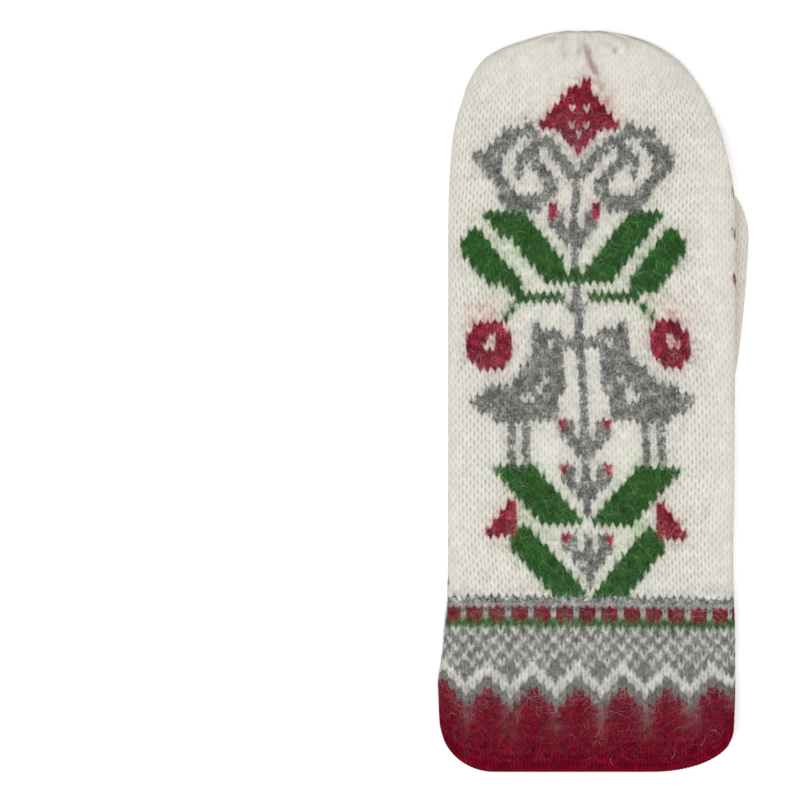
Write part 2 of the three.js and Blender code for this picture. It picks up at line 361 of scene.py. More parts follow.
def tree_of_life(column, row):
    """The wool of each stitch on the back: a stem with leaves, sprigs, berries, scrolls, two
    birds and a flower. Both sides of the stem are the same but for a stitch here and there."""
    side = np.abs(column)
    right = (column > 0).astype(int)
    wool = np.full(side.shape, CREAM)
    stem = (side == 0) & (between(row, 1, 6) | between(row, 9, 34) | between(row, 37, 47))
    knot = (side <= 1) & (row == 32)
    curl = scroll(side, row) & (column != 14)
    wool[curl | stem | knot | bird(column, row)] = GREY
    lowest = leaf(side, row, 1, 10, 0, 7, 5)
    second = leaf(side, row, 1, 12, 8, 14, 6)
    inner = leaf(side, row, right, 12, 35, 42, np.where(row > 39, 5, 4 + right)) & (side >= 2)
    outer = leaf(side, row, 8, 14, 35, 40, 12) | ((side == 15) & between(row, 38, 39))
    outer |= (row == 34) & between(side, 8, 9 + 2 * right)
    branch = (between(side, 2, 8) & (row == 33)) | (between(side, 9, 10) & (row == 41 - side))
    crossing = ((side <= 1) & (row == 35)) | ((side == 0) & (row == 36))
    wool[lowest | second | inner | outer | branch | crossing] = GREEN
    end = (row == 26) | (row == 30)
    berry = between(row, 26, 30) & between(side, 10 + end, 15 - right - end)
    bell = between(side, 10, 13) & between(row, 7, 20 - side)
    wool[berry | bell] = CRIMSON
    for low, bud_rows in ((3, 1), (11, 1), (16, 1), (39, 2)):
        cup = between(row, low, low + 1) & (side <= row - low + 1)
        arm = between(row, low + 1, low + 3) & ((side == 2) | ((side == 3) & (row == low + 2)))
        wool[cup | arm] = GREY
        wool[(side == 3) & between(row, low + 3, low + 2 + bud_rows)] = CRIMSON
    flower = between(row, 53, 56) & (side <= 58 - row)
    flower |= (row == 57) & (side <= 1)
    flower |= (row == 58) & (column == 1)
    wool[flower | (between(row, 50, 52) & (side <= row - 50))] = CRIMSON
    eye = (side == 4) & (row == 28)
    wing = ((side == 5) & (row == 24)) | ((side == 6) & (row == 23))
    wing |= between(side, 7 - right, 8 - right) & (row == 22)
    pip = ((side == 12) & between(row, 28, 29)) | ((side == 13) & (row == 28))
    seeds = ((side == 1) & ((row == 55) | (row == 53))) | ((side == 0) & (row == 52))
    wool[eye | wing | pip | seeds] = CREAM
    return wool


def palm_flecks(column, row):
    """Single coloured stitches a knight's move apart, in slanting bands about five rows
    high that change from grey to crimson to green."""
    slant = 0.74
    lowest = 11.6
    high = 4.83
    band = np.floor((row - slant * column - lowest) / high).astype(int) % 3
    wool = np.choose(band, [GREY, CRIMSON, GREEN])
    return np.where((column + 2 * row) % 5 == 2, wool, CREAM)


def hand_chart(column, row):
    """The wool of each stitch of the hand: the tree on the back and flecks on the palm, over
    a last row of the cuff's grey and below plain fingertips."""
    on_palm = (column >= np.where(row > 47, 23, 22)) | (column <= -20)
    wool = np.where(on_palm, palm_flecks(column % HAND_STITCHES, row), tree_of_life(column, row))
    return np.where(row < 0, GREY, np.where(row <= 63, wool, CREAM))


def blurred(shares, spread):
    """Shares of each dyed wool mixed with their neighbours' by a bell curve, round the
    columns and along the rows."""
    reach = int(np.ceil(2.5 * spread))
    offsets = np.arange(-reach, reach + 1)
    weights = np.exp(-(offsets**2) / (2 * spread**2))
    weights /= weights.sum()
    across = sum(w * np.roll(shares, o, axis=1) for w, o in zip(weights, offsets))
    padded = np.pad(across, ((reach, reach), (0, 0), (0, 0)), mode="edge")
    rows = len(shares)
    return sum(w * padded[reach + o : reach + o + rows] for w, o in zip(weights, offsets))


def dyed(wool):
    """One share each for grey, green and crimson wool, 1 where a stitch has that wool."""
    return (wool[..., None] == np.array([GREY, GREEN, CRIMSON])).astype(float)


def between_stitches(shares, first_row, column, row):
    """Shares between the middles of the stitches, mixed by distance."""
    count = shares.shape[1]
    j = np.clip(row - 0.5 - first_row, 0, len(shares) - 1.001)
    i = (column + count // 2) % count
    j0, i0 = np.floor(j).astype(int), np.floor(i).astype(int)
    i1 = (i0 + 1) % count
    s, t = (j - j0)[..., None], (i - i0)[..., None]
    lower = shares[j0, i0] * (1 - t) + shares[j0, i1] * t
    upper = shares[j0 + 1, i0] * (1 - t) + shares[j0 + 1, i1] * t
    return lower * (1 - s) + upper * s


# How a stitch is shaped: how far its legs lean, in rows for each column, and how far along a
# leg the hollow at its end reaches, in rows.
VEE_LEAN = 1.15
HOLLOW_REACH = 0.23

# How far colour spreads, in stitches: the soft edge of a dyed stitch, and then the haze of its
# hairs, with a strength and a reach for each of two bell curves. CREASE_SHADE is how strongly
# painted shade darkens a crease.
EDGE_BLUR = 0.26
HAZE_BLURS = ((0.6, 0.8), (0.4, 2.0))
CREASE_SHADE = 0.42


def knitted(cloth, first, last, lines, depth, chart, vee, folds, detail, seed):
    """Stockinette over a cloth, from the row first to last, with so many lines of points in a
    row. A line is a zigzag, row + VEE_LEAN times the distance from the middle of the column,
    so a face never crosses from one stitch to the next. A stitch is two rounded legs, |sin|
    across and a raised cosine along, which sink to a small hollow where they meet the next
    ones. vee says how pointed the zigzag is in each row, and folds how deep the cloth is
    creased at each point; a crease is also painted with shade, darker and tinted pink-brown.
    detail says, at each column and row, how dark the painted shade in the hollows is, what
    haze of dyed wool is added and how light the wool is, painted shade included."""
    rng = np.random.default_rng(seed)
    rows = first + np.arange(round((last - first) * lines) + 1) / lines
    around = np.arange(cloth.stitches * cloth.per_stitch)
    half = cloth.stitches // 2
    row, line = np.meshgrid(rows, around, indexing="ij")
    column = line / cloth.per_stitch - half
    across = np.abs(column - np.round(column))
    part = row - np.floor(row + 1e-6)
    along = np.minimum(part, 1 - part)
    legs = np.abs(np.sin(2 * np.pi * across))
    height = depth * (legs * (0.8 - 0.2 * np.cos(2 * np.pi * part)) - 1)
    height -= 0.8 * depth * (1 - legs) * np.exp(-((along / HOLLOW_REACH) ** 2))
    leaning = row + VEE_LEAN * vee(row) * across
    crease = folds(cloth.at(leaning, line, 0 * row))
    points = cloth.at(leaning, line, height * (1 - np.minimum(crease, 1) / 2) - crease)
    chart_rows = np.arange(int(np.floor(first)) - 1, int(np.ceil(last)) + 1)
    chart_row, chart_column = np.meshgrid(chart_rows, np.arange(-half, half), indexing="ij")
    wool = chart(chart_column, chart_row)
    tone_and_shade = rng.normal(1, 0.025, wool.shape)
    face_row = np.floor(row[:-1] + 0.5 / lines).astype(int) - chart_rows[0]
    face_column = np.round(column[:-1] + 0.5 / cloth.per_stitch).astype(int) + half
    face_column %= cloth.stitches
    soft = blurred(dyed(wool[face_row, face_column]), EDGE_BLUR * cloth.per_stitch)
    soft = (soft + np.roll(soft, 1, axis=1)) / 2
    soft = (np.concatenate([soft[:1], soft]) + np.concatenate([soft, soft[-1:]])) / 2
    wide = sum(strength * blurred(dyed(wool), reach) for strength, reach in HAZE_BLURS)
    haze = between_stitches(wide, chart_rows[0], column, row - 0.4)
    # Painted shade in a crease: a pink-brown tint added through the grey and crimson haze.
    crease_shade_tint = soft_step(0.1, 0.8, crease)[..., None] * np.array([0.1, 0.0, 0.5])
    hollow_shade, added, light = detail(column, row)
    return {
        "points": points,
        "dye": soft,
        "haze": haze + crease_shade_tint + added,
        "stitch": np.stack([across, along, hollow_shade * np.exp(-2 * crease)], axis=-1),
        # Each stitch's random tone, times the lightness from detail and the painted shade of creases.
        "tone_and_shade": tone_and_shade[face_row, face_column] * light[:-1] * np.exp(-CREASE_SHADE * crease[:-1]),
    }


def unfolded(points):
    """No crease anywhere."""
    return 0 * points[..., 0]


def plain_inside(cloth, rows, shares):
    """The inner face of a piece on its own cloth, smooth, where the wools that are carried
    along behind lie side by side: shares are those of the grey, green and crimson."""
    around = np.arange(cloth.stitches * cloth.per_stitch)
    row, line = np.meshgrid(np.asarray(rows, float), around, indexing="ij")
    every = np.broadcast_to(np.asarray(shares, float), row.shape + (3,))
    return {
        "points": cloth.at(row, line, 0 * row),
        "dye": every,
        "haze": every,
        "stitch": 0 * every + np.array([0.25, 0.5, 0.0]),
        "tone_and_shade": 1 + 0 * row,
    }


def add_object(name, data):
    """Puts a mesh, light or camera into the scene."""
    made = bpy.data.objects.new(name, data)
    bpy.context.scene.collection.objects.link(made)
    return made


# How much of each face's place in the flat map stays free at its edges.
MAP_MARGIN = 0.04


def wool_mesh(name, parts, joined):
    """A closed surface through the parts' lines of points, in order, with what the wool's
    finish reads as attributes. Joined, the last line meets the first, otherwise each end
    closes on a point in its middle. A face takes its tone, painted shade included, from the
    line below it."""
    points = np.concatenate([part["points"] for part in parts]) * MILLIMETRE
    lines, around = points.shape[:2]
    bands = lines if joined else lines - 1
    vertex = np.arange(lines * around).reshape(lines, around)
    after = np.roll(vertex, -1, axis=0)[:bands]
    lower, upper = np.roll(vertex, -1, axis=1)[:bands], np.roll(after, -1, axis=1)
    quads = np.stack([vertex[:bands], lower, upper, after], axis=2)
    coordinates = points.reshape(-1, 3)
    poles = np.zeros((0, 3), int)
    if not joined:
        coordinates = np.concatenate([coordinates, points[:1].mean(1), points[-1:].mean(1)])
        low, high = lines * around, lines * around + 1
        first, last = vertex[0], vertex[-1]
        below = np.stack([np.full(around, low), np.roll(first, -1), first], axis=1)
        above = np.stack([np.full(around, high), last, np.roll(last, -1)], axis=1)
        poles = np.concatenate([below, above])
    mesh = bpy.data.meshes.new(name)
    mesh.vertices.add(len(coordinates))
    mesh.vertices.foreach_set("co", coordinates.astype(np.float32).ravel())
    corners = np.concatenate([quads.ravel(), poles.ravel()])
    faces = bands * around + len(poles)
    after_quads = bands * around * 4 + np.arange(len(poles)) * 3
    starts = np.concatenate([np.arange(bands * around) * 4, after_quads])
    mesh.loops.add(len(corners))
    mesh.loops.foreach_set("vertex_index", corners.astype(np.int32))
    mesh.polygons.add(faces)
    mesh.polygons.foreach_set("loop_start", starts.astype(np.int32))
    mesh.polygons.foreach_set("use_smooth", np.ones(faces, bool))
    mesh.update(calc_edges=True)

    spare = 0 if joined else 2
    for label in ("dye", "haze", "stitch"):
        shares = np.concatenate([part[label] for part in parts]).reshape(-1, 3)
        shares = np.concatenate([shares, np.repeat(shares[-1:], spare, axis=0)])
        made = mesh.attributes.new(label, "FLOAT_COLOR", "POINT")
        made.data.foreach_set("color", np.insert(shares, 3, 1.0, axis=1).astype(np.float32).ravel())
    tone_and_shade = np.ones((lines, around))
    start = 0
    for part in parts:
        tone_and_shade[start : start + len(part["tone_and_shade"])] = part["tone_and_shade"]
        start += len(part["points"])
    made = mesh.attributes.new("tone_and_shade", "FLOAT", "FACE")
    made.data.foreach_set("value", np.append(tone_and_shade[:bands], np.ones(len(poles))).astype(np.float32))

    j, i = np.meshgrid(np.arange(bands), np.arange(around), indexing="ij")
    left, right = (i + MAP_MARGIN) / around, (i + 1 - MAP_MARGIN) / around
    low_v, high_v = (j + 1 + MAP_MARGIN) / (bands + 2), (j + 2 - MAP_MARGIN) / (bands + 2)
    flat_map = [np.stack([left, low_v, right, low_v, right, high_v, left, high_v], axis=2).ravel()]
    if len(poles):
        near, far = left[0], right[0]
        middle = (near + far) / 2
        edge = np.full(around, (1 - MAP_MARGIN) / (bands + 2))
        flat_map.append(np.stack([middle, 0 * edge, far, edge, near, edge], axis=1).ravel())
        flat_map.append(np.stack([middle, 0 * edge + 1, near, 1 - edge, far, 1 - edge], axis=1).ravel())
    layer = mesh.uv_layers.new(name="OFBake")
    layer.data.foreach_set("uv", np.concatenate(flat_map).astype(np.float32))
    mesh.validate()
    return add_object(name, mesh)


def wool_finish(name, cream, crimson, blush, rough):
    """Fuzzy wool, cream where nothing is dyed. The share of each dyed wool is cut by noise as
    fine as its hairs, so its edges are ragged, and a pale haze of it lies over its
    neighbours: blush is the haze of the crimson. The wools are mottled by light and dark
    hairs, and crossed by thin lighter hairs, partly painted highlight where they catch the
    light. Painted shade darkens a small oval hollow at each end of a stitch and the grooves
    between the legs, and each face's tone carries more painted shade. Fine noise raises the
    hairs. The mottling and the torn edges grow with rough."""
    material = bpy.data.materials.new(name)
    material.use_nodes = True
    tree = material.node_tree
    shader = tree.nodes["Principled BSDF"]
    shader.inputs["Roughness"].default_value = 0.95
    shader.inputs["Specular IOR Level"].default_value = 0.02
    shader.inputs["Sheen Weight"].default_value = 0.01
    shader.inputs["Sheen Roughness"].default_value = 0.6

    def node(kind, **settings):
        made = tree.nodes.new(kind)
        for key, value in settings.items():
            setattr(made, key, value)
        return made

    def join(socket, value):
        if hasattr(value, "is_output"):
            tree.links.new(value, socket)
        else:
            socket.default_value = value

    def maths(operation, *values):
        made = node("ShaderNodeMath", operation=operation)
        for socket, value in zip(made.inputs, values):
            join(socket, value)
        return made.outputs[0]

    def product(*values):
        total = values[0]
        for value in values[1:]:
            total = maths("MULTIPLY", total, value)
        return total

    def ramp(value, low, high, start, end):
        made = node("ShaderNodeMapRange", interpolation_type="SMOOTHSTEP")
        for socket, number in zip(made.inputs, (value, low, high, start, end)):
            join(socket, number)
        return made.outputs["Result"]

    def mix(how, share, first, second):
        made = node("ShaderNodeMix", data_type="RGBA", blend_type=how)
        join(made.inputs[0], share)
        join(made.inputs[6], first)
        join(made.inputs[7], second)
        return made.outputs[2]

    place = node("ShaderNodeTexCoord").outputs["Object"]

    def noise(scale, detail, squeeze=1.0):
        stretched = node("ShaderNodeMapping")
        tree.links.new(place, stretched.inputs["Vector"])
        stretched.inputs["Scale"].default_value = (1.0, squeeze, 1.0)
        made = node("ShaderNodeTexNoise")
        tree.links.new(stretched.outputs["Vector"], made.inputs["Vector"])
        made.inputs["Scale"].default_value = scale
        made.inputs["Detail"].default_value = detail
        made.inputs["Roughness"].default_value = 0.6
        return maths("SUBTRACT", made.outputs["Fac"], 0.5)

    def parts_of(label):
        parted = node("ShaderNodeSeparateColor")
        read = node("ShaderNodeAttribute", attribute_name=label)
        tree.links.new(read.outputs["Color"], parted.inputs[0])
        return parted.outputs[:3]

    dyes = ((0.160, 0.164, 0.154, 1), (0.022, 0.083, 0.016, 1), crimson)
    hazes = ((0.33, 0.34, 0.32, 1), (0.33, 0.50, 0.27, 1), blush)
    edges = ((0.37, 0.36, 1.4), (0.44, 0.37, 1.1), (0.06 + 0.2 * rough, 0.05 + 0.19 * rough, 0.8))
    patches = ramp(noise(300, 3.0), -0.18, 0.18, 0.1, 1.0)
    tufts = noise(800, 3.0, 0.6)
    covers = []
    colour = cream
    for near, dye, (limit, soft, torn) in zip(parts_of("dye"), dyes, edges):
        halfway = product(near, maths("SUBTRACT", 1.0, near), 4 * torn * rough)
        ragged = maths("MULTIPLY_ADD", tufts, halfway, near)
        edge = ramp(ragged, limit - soft, limit + soft, 0.0, 1.0)
        colour = mix("MIX", edge, colour, dye)
        bare = maths("SUBTRACT", 1.0, edge)
        covers = [product(cover, bare) for cover in covers] + [edge]
    covered = maths("ADD", maths("ADD", covers[0], covers[1]), covers[2])
    clear = maths("MAXIMUM", maths("MULTIPLY_ADD", covered, -0.8, 1.0), 0.15)
    undyed = 1.0
    for wide, cover, pale in zip(parts_of("haze"), covers, hazes):
        undyed = maths("SUBTRACT", undyed, wide)
        bare = maths("SUBTRACT", 1.0, cover)
        colour = mix("MIX", product(wide, bare, clear, patches), colour, pale)
    fluff = product(ramp(undyed, 0.3, 1.1, 0.0, 1.0), ramp(noise(620, 3.0), -0.1, 0.2, 0.0, 0.4))
    colour = mix("MIX", fluff, colour, cream)

    spread = 0.24
    for cover, share in zip(covers, (2.4, 1.5, 1.9)):
        spread = maths("MULTIPLY_ADD", cover, share * rough, spread)
    mottle = maths("MULTIPLY_ADD", noise(290, 2.0), 1.05, noise(1400, 2.0, 0.7))
    speckle = maths("EXPONENT", product(mottle, spread))
    across, along, painted_hollow_strength = parts_of("stitch")
    beside = maths("MINIMUM", across, maths("SUBTRACT", 0.5, across))
    oval = maths("POWER", maths("DIVIDE", beside, 0.12), 2.0)
    oval = maths("ADD", oval, maths("POWER", maths("DIVIDE", along, 0.28), 2.0))
    size = ramp(noise(300, 1.0), -0.2, 0.2, 0.6, 1.0)
    # Painted shade: a dark oval in the hollow at each end of a stitch.
    hollow_shade = product(maths("EXPONENT", maths("MULTIPLY", oval, -1.0)), size, painted_hollow_strength)
    # Painted shade in the grooves between the legs of a stitch.
    valley = ramp(beside, 0.0, 0.2, 0.98, 1.0)
    # Each stitch's random tone with painted shade from creases and from detail.
    tone_and_shade = node("ShaderNodeAttribute", attribute_name="tone_and_shade").outputs["Fac"]
    thread = ramp(maths("ABSOLUTE", noise(230, 2.0, 0.8)), 0.0, 0.035, 1.0, 0.0)
    # Thin lighter hairs over dyed wool, partly painted highlight where they catch the light.
    pale_hairs_and_highlight = maths("MULTIPLY_ADD", product(thread, covered), 0.3, 1.0)
    light = product(speckle, valley, tone_and_shade, pale_hairs_and_highlight, maths("MULTIPLY_ADD", hollow_shade, -0.48, 1.0))
    grey = node("ShaderNodeCombineColor")
    for socket in grey.inputs[:3]:
        join(socket, light)
    shaded = mix("MULTIPLY", 1.0, colour, grey.outputs[0])
    tree.links.new(shaded, shader.inputs["Base Color"])
    bump = node("ShaderNodeBump")
    bump.inputs["Strength"].default_value = 0.35
    bump.inputs["Distance"].default_value = 0.0003
    tree.links.new(noise(1700, 3.0, 0.6), bump.inputs["Height"])
    tree.links.new(bump.outputs["Normal"], shader.inputs["Normal"])
    return material


# Creases at the fingertips where the last stitches are drawn together: a line from one point
# to another on the back, its half width and depth in millimetres.
FOLDS = np.array(
    [
        (-3.9, 130.0, -2.1, 126.8, 1.3, 0.5),
        (-2.1, 126.8, -1.2, 123.2, 1.2, 0.8),
        (-1.2, 123.2, 0.8, 118.6, 1.1, 0.85),
        (0.8, 118.6, 4.4, 109.0, 1.1, 0.45),
        (-11.4, 131.5, -11.2, 125.5, 1.4, 0.3),
        (-5.4, 128.3, -5.2, 126.9, 0.8, 0.6),
        (4.0, 130.6, 7.3, 127.7, 1.2, 0.4),
        (7.1, 127.9, 7.8, 127.3, 0.8, 0.6),
        (-15.3, 131.9, -15.2, 131.0, 0.8, 0.4),
    ],
    dtype=[(column, float) for column in ("x", "y", "to_x", "to_y", "width", "depth")],
)


def fingertip_folds(points):
    """Depth of the creases at each point of the back, a bell curve across each line, and
    soft pleats that fan out below the point where the stitches are drawn together."""
    x, y = points[..., 0], points[..., 1]
    depth = 0 * x
    for fold in FOLDS:
        run, rise = fold["to_x"] - fold["x"], fold["to_y"] - fold["y"]
        t = ((x - fold["x"]) * run + (y - fold["y"]) * rise) / (run**2 + rise**2)
        t = np.clip(t, 0, 1)
        gap = np.hypot(x - fold["x"] - t * run, y - fold["y"] - t * rise)
        depth = np.maximum(depth, fold["depth"] * np.exp(-((gap / fold["width"]) ** 2)))
    fan = (x + 4.5) / (0.35 + 0.04 * np.maximum(TIP_Y - y, 0))
    pleats = 0.12 * (1 - np.cos(1.2 * fan)) * np.exp(-((fan / 11) ** 2)) * soft_step(117, 129, y)
    return (depth + pleats) * (points[..., 2] > 8)


def hand_vee(row):
    """Pointed, and level at the fingertips, where the stitches are drawn together."""
    return 1 - soft_step(62.5, 65, row)


# Patches of haze: the column and row of the middle, the width and height in stitches, how
# strong it is, which wool it comes from, and whether there is one on both sides of the stem.
HAND_HAZES = np.array(
    [
        (13.0, 32.0, 3.0, 1.7, 0.4, CRIMSON, True),
        (1.5, 58.5, 2.2, 1.8, 0.25, CRIMSON, False),
        (3.6, 56.4, 1.2, 1.5, 0.45, CRIMSON, False),
        (12.4, 28.4, 1.0, 1.0, 1.2, CRIMSON, False),
        (3.0, 44.3, 0.8, 0.7, 0.4, CRIMSON, True),
        (9.0, 38.5, 3.5, 4.0, 0.25, GREEN, True),
        (7.0, 8.0, 4.0, 2.0, 0.3, GREEN, True),
        (9.3, 32.3, 1.0, 1.0, 0.9, GREEN, True),
        (0.0, 52.0, 4.0, 2.5, 1.0, GREY, True),
        (12.5, 28.0, 3.0, 3.0, 0.3, GREY, True),
    ],
    dtype=[(column, float) for column in ("column", "row", "wide", "high", "strong")]
    + [("wool", int), ("both", bool)],
)


def hand_detail(column, row):
    """The painted shade in the hollows is darkest in the plain wool beside the pattern, faint at
    the felted fingertips and at the side edges. Each patch of haze is a bell curve across the
    columns and rows, over the berries, round the flower's top and between the leaves. The grey
    row at the bottom is paler."""
    side = np.abs(column)
    # How dark the painted shade in the hollows is.
    hollow_shade = 0.55 + 0.45 * soft_step(4, 12, side) - 0.5 * soft_step(15, 19, side)
    hollow_shade = hollow_shade * (1 - 0.55 * soft_step(54, 61, row))
    added = np.zeros(row.shape + (3,))
    for haze in HAND_HAZES:
        across = ((side if haze["both"] else column) - haze["column"]) / haze["wide"]
        along = (row - haze["row"]) / haze["high"]
        added[..., haze["wool"] - GREY] += haze["strong"] * np.exp(-(across**2) - along**2)
    light = 1 + 0.5 * (1 - soft_step(-0.7, -0.1, row))
    return hollow_shade, added, light


HAND_CRIMSON = (0.200, 0.0105, 0.029, 1)
HAND_BLUSH = (0.50, 0.15, 0.16, 1)

# The wall is the inner face from the fingertips down, the lower edge and the knitting.
hand_outside = hand_cloth(inset=0, per_stitch=4)
hand_inside = plain_inside(hand_cloth(WALL, 4), np.linspace(64.5, -1.6, 22), (0.35, 0.12, 0.10))
hand_edge = plain_inside(hand_outside, (-1.6, -1.2), (1, 0, 0))
hand_knit = knitted(
    hand_outside,
    first=-1,
    last=66,
    lines=4,
    depth=0.17,
    chart=hand_chart,
    vee=hand_vee,
    folds=fingertip_folds,
    detail=hand_detail,
    seed=11,
)
hand = wool_mesh("hand_knit", [hand_inside, hand_edge, hand_knit], joined=False)
hand_finish = wool_finish(
    "cream wool with pattern",
    cream=(0.710, 0.685, 0.615, 1),
    crimson=HAND_CRIMSON,
    blush=HAND_BLUSH,
    rough=1.25,
)
hand.data.materials.append(hand_finish)
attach(hand, "root")
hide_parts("hand")

# The cuff is a straight tube of crimson, grey, green and white wool below the hand. Its lower
# edge is folded in and sewn down as a hem, which makes the rim twice as thick and round.
CUFF_STITCHES = 84
HEM_WALL = 4.6
FOLD_STARTS = -0.1
FOLD_ENDS = -2.67
FOLD_Y = -132.4

# Heights of the rows of stitches, up the outside from where the fold at the rim starts, and up
# the inside from where it ends: the hem up to row -8.8, and from row -9.6 the single wall.
CUFF_ROWS = np.array(
    [
        (FOLD_STARTS, FOLD_Y),
        (6, -114.2),
        (9, -105.7),
        (12, -97.4),
        (15, -88.4),
        (17, -82.9),
        (18, -79.1),
        (20, -73.1),
    ]
)
INSIDE_ROWS = np.array([(FOLD_ENDS, FOLD_Y), (-8.8, -114.0), (-9.6, -111.5), (-23, -71.9)])

# Where the middle column of the pattern runs: y and x.
CUFF_MIDDLE = np.array([(-135, -4.9), (-116, -5.6), (-94, -6.15), (-83, -6.7), (-72, -6.6)])


def cuff_path(row):
    """Height and inset of the cuff's wall at each row: straight down the outside, round the
    fold as half an ellipse, up the hem, in to the single wall and up it."""
    turn = np.clip((FOLD_STARTS - row) / (FOLD_STARTS - FOLD_ENDS), 0, 1) * np.pi
    outside = np.interp(row, CUFF_ROWS[:, 0], CUFF_ROWS[:, 1])
    inside = np.interp(-row, -INSIDE_ROWS[:, 0], INSIDE_ROWS[:, 1])
    y = np.where(row > FOLD_ENDS, outside - (FOLD_Y - RIM_Y) * np.sin(turn), inside)
    hem = np.interp(-row, -INSIDE_ROWS[1:3, 0], [HEM_WALL, WALL])
    return y, np.where(row > FOLD_ENDS, HEM_WALL / 2 * (1 - np.cos(turn)), hem)


def cuff_cloth(per_stitch):
    """The whole wall of the cuff as one cloth, from the inner top edge round the hem to the
    outer top edge. The middle column of the pattern leans a little to the right."""
    row = cloth_rows(-23, 20.7)
    y, inset = cuff_path(row)
    rings = body_rings(y, inset, np.ones(len(row)))
    middle = np.interp(y, CUFF_MIDDLE[:, 0], CUFF_MIDDLE[:, 1])
    sag = -0.3 * soft_step(-130, -100, y)
    bend_rows(rings, middle, sag, sag)
    laid = lay_columns(rings, middle, CUFF_STITCHES, per_stitch, 2.74, 2.70)
    return Cloth(row, laid, CUFF_STITCHES, per_stitch)


def cuff_chart(column, row):
    """The cuff's rows, counted down from the hand: a grey row, crimson with white stitches,
    green, five rows of white flecks on grey, a wide white zigzag, a grey one and crimson."""
    top_row = 19
    down = top_row - row
    peak = np.abs((column + 3) % 6 - 3)
    wool = np.full(peak.shape, GREY)
    wool[down == 1] = CRIMSON
    wool[(down == 1) & (column % 3 == 0)] = CREAM
    wool[down == 2] = GREEN
    wool[between(down, 3, 7) & ((peak + down) % 2 == 1)] = CREAM
    wool[between(down - peak, 7, 8)] = CREAM
    wool[down >= 11 + peak] = CRIMSON
    return wool


def cuff_vee(row):
    """Pointed, flatter in the crimson and green rows at the top, and level round the rim."""
    return soft_step(0.5, 3.0, row) * (1 - 0.4 * soft_step(16.0, 17.5, row))


def cuff_detail(column, row):
    """The painted shade in the hollows is even, and darker in the reversed rows at the rim. Grey
    haze hangs over the crimson below each point of the grey zigzag and fades downwards. The top
    row is pale with the hand's cream hairs, and the white stitches below it are darkened with
    painted shade."""
    hollow_shade = 0.8 + 0.7 * (1 - soft_step(1.5, 3.5, row)) + 0 * column
    valley = np.exp(-((column % 6 - 3) / 1.1) ** 2) * soft_step(1.5, 6.5, row)
    grey = 1.8 * valley * (1 - soft_step(7.5, 9.5, row)) * (0.6 + 0.4 * soft_step(0, 12, column))
    light = 1 - 0.07 * (1 - soft_step(0, 8, row)) + 0.75 * soft_step(18.9, 19.4, row)
    # Painted shade on the white stitches below the top row.
    light = light - 0.25 * (between(row, 17.9, 19.1) & (np.round(column) % 3 == 0))
    return hollow_shade, np.stack([grey, 0 * row, 0 * row], axis=-1), light


cuff_wall = cuff_cloth(per_stitch=6)
cuff_inside = plain_inside(cuff_wall, np.linspace(-22.9, -9.5, 9), (0.4, 0.1, 0.4))
cuff_knit = knitted(
    cuff_wall,
    first=-9,
    last=20,
    lines=4,
    depth=0.24,
    chart=cuff_chart,
    vee=cuff_vee,
    folds=unfolded,
    detail=cuff_detail,
    seed=12,
)
cuff = wool_mesh("cuff_knit", [cuff_inside, cuff_knit], joined=True)
cuff_finish = wool_finish(
    "crimson wool with pattern",
    cream=(0.66, 0.645, 0.60, 1),
    crimson=(0.150, 0.002, 0.0135, 1),
    blush=(0.26, 0.08, 0.09, 1),
    rough=0.65,
)
cuff.data.materials.append(cuff_finish)
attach(cuff, "root")
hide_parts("cuff")

# The thumb is a small closed tube of plain cream wool, knitted on round a slit in the palm
# and folded flat under the hand.
THUMB_SHAPE = np.array(
    [
        (79.0, 32.5, 44.7, 4.0),
        (78.0, 30.0, 47.8, 6.0),
        (76.1, 27.2, 51.0, 8.0),
        (71.7, 22.9, 53.9, 10.4),
        (67.3, 20.7, 55.7, 11.5),
        (61.0, 19.0, 56.8, 12.0),
        (45.5, 15.4, 56.0, 12.0),
        (19.3, 10.6, 53.5, 12.0),
        (-5.0, 6.2, 49.0, 12.0),
        (-12.0, 6.6, 47.5, 9.8),
        (-16.0, 9.0, 45.0, 5.5),
        (-17.5, 12.0, 42.0, 2.5),
    ],
    dtype=[(column, float) for column in COLUMNS],
)
THUMB_STITCHES = 34


def thumb_rings(y, draw):
    """Points round the thumb, a ring for each y, on the same superellipse as the hand. Below
    its middle it thins from under, so the sewn end lies against the palm above it, and
    beyond its middle it thins evenly to the tip."""
    y, draw = (np.asarray(value, float)[:, None] for value in (y, draw))
    angle = section_angles()
    cosine, sine = np.cos(angle), np.sin(angle)
    left, right, thick = (shape_at(THUMB_SHAPE, column, y) for column in COLUMNS[1:])
    missing = THUMB_THICK - thick
    middle_y = (THUMB_SHAPE["y"][0] + THUMB_SHAPE["y"][-1]) / 2
    bottom = np.where(y < middle_y, missing, missing / 2)
    half = (right - left) / 2 * draw
    x = (left + right) / 2 + half * np.sign(cosine) * np.abs(cosine) ** EDGE_POWER
    side = np.clip(np.sign(sine) * np.abs(sine) ** FACE_POWER * FLATTEN, -1, 1)
    return np.stack([x, y + 0 * x, bottom + thick / 2 + thick / 2 * draw * side], axis=2)


def thumb_cloth(per_stitch):
    """The thumb's fabric from the sewn end to the tip, drawn in at both."""
    row = cloth_rows(0, 32)
    y = np.interp(row, [0, 1, 31, 32], [-17.5, -17.4, 78.9, 79])
    draw = 1 - 0.95 * np.maximum(1 - soft_step(0, 1, row), soft_step(31, 32, row))
    rings = thumb_rings(y, draw)
    middle = rings[:, :, 0].mean(1)
    laid = lay_columns(rings, middle, THUMB_STITCHES, per_stitch, 2.8, 2.8)
    return Cloth(row, laid, THUMB_STITCHES, per_stitch)


def thumb_vee(row):
    """Pointed, and level at both closed ends."""
    return soft_step(0, 2, row) - soft_step(29.5, 31.5, row)


def all_cream(column, row):
    """Cream wool in every stitch."""
    return 0 * column + CREAM


